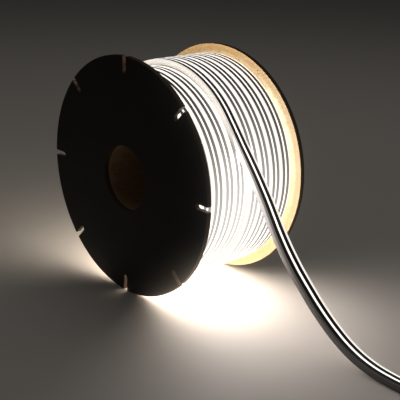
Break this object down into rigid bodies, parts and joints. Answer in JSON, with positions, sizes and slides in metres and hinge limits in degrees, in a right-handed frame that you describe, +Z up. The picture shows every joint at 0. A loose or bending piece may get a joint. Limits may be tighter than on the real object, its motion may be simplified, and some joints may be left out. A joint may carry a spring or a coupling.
{
  "type": "led neon flex on a reel",
  "caption": "Flat LED neon flex with a glowing centre line, wound in layers on a board reel with a slotted flange, its free end led to the floor and closed by a cap",
  "frame": {"origin": "middle of the reel's foot on the floor, under the centre of its width", "axes": "+X along the reel's axis from the slotted flange to the plain one, -Y to the side on which the free end leaves, +Z up"},
  "size_m": [0.15, 0.5424, 0.28],
  "materials": {
    "black_faced_board": "laminated board with a matt black outer face, kraft inner face and brown cut rim",
    "kraft_board": "matt kraft board, lightly fibrous",
    "flex_diffuser": "satin milky extrusion with two black tracks and a centre line that glows warm white",
    "cap_plastic": "satin milky moulding"
  },
  "bodies": {
    "root": {"near_flange": "black_faced_board", "far_flange": "kraft_board", "core_tube": "kraft_board", "wound_flex": "flex_diffuser", "flex_free_end": "flex_diffuser", "end_cap": "cap_plastic"}
  },
  "joints": []
}
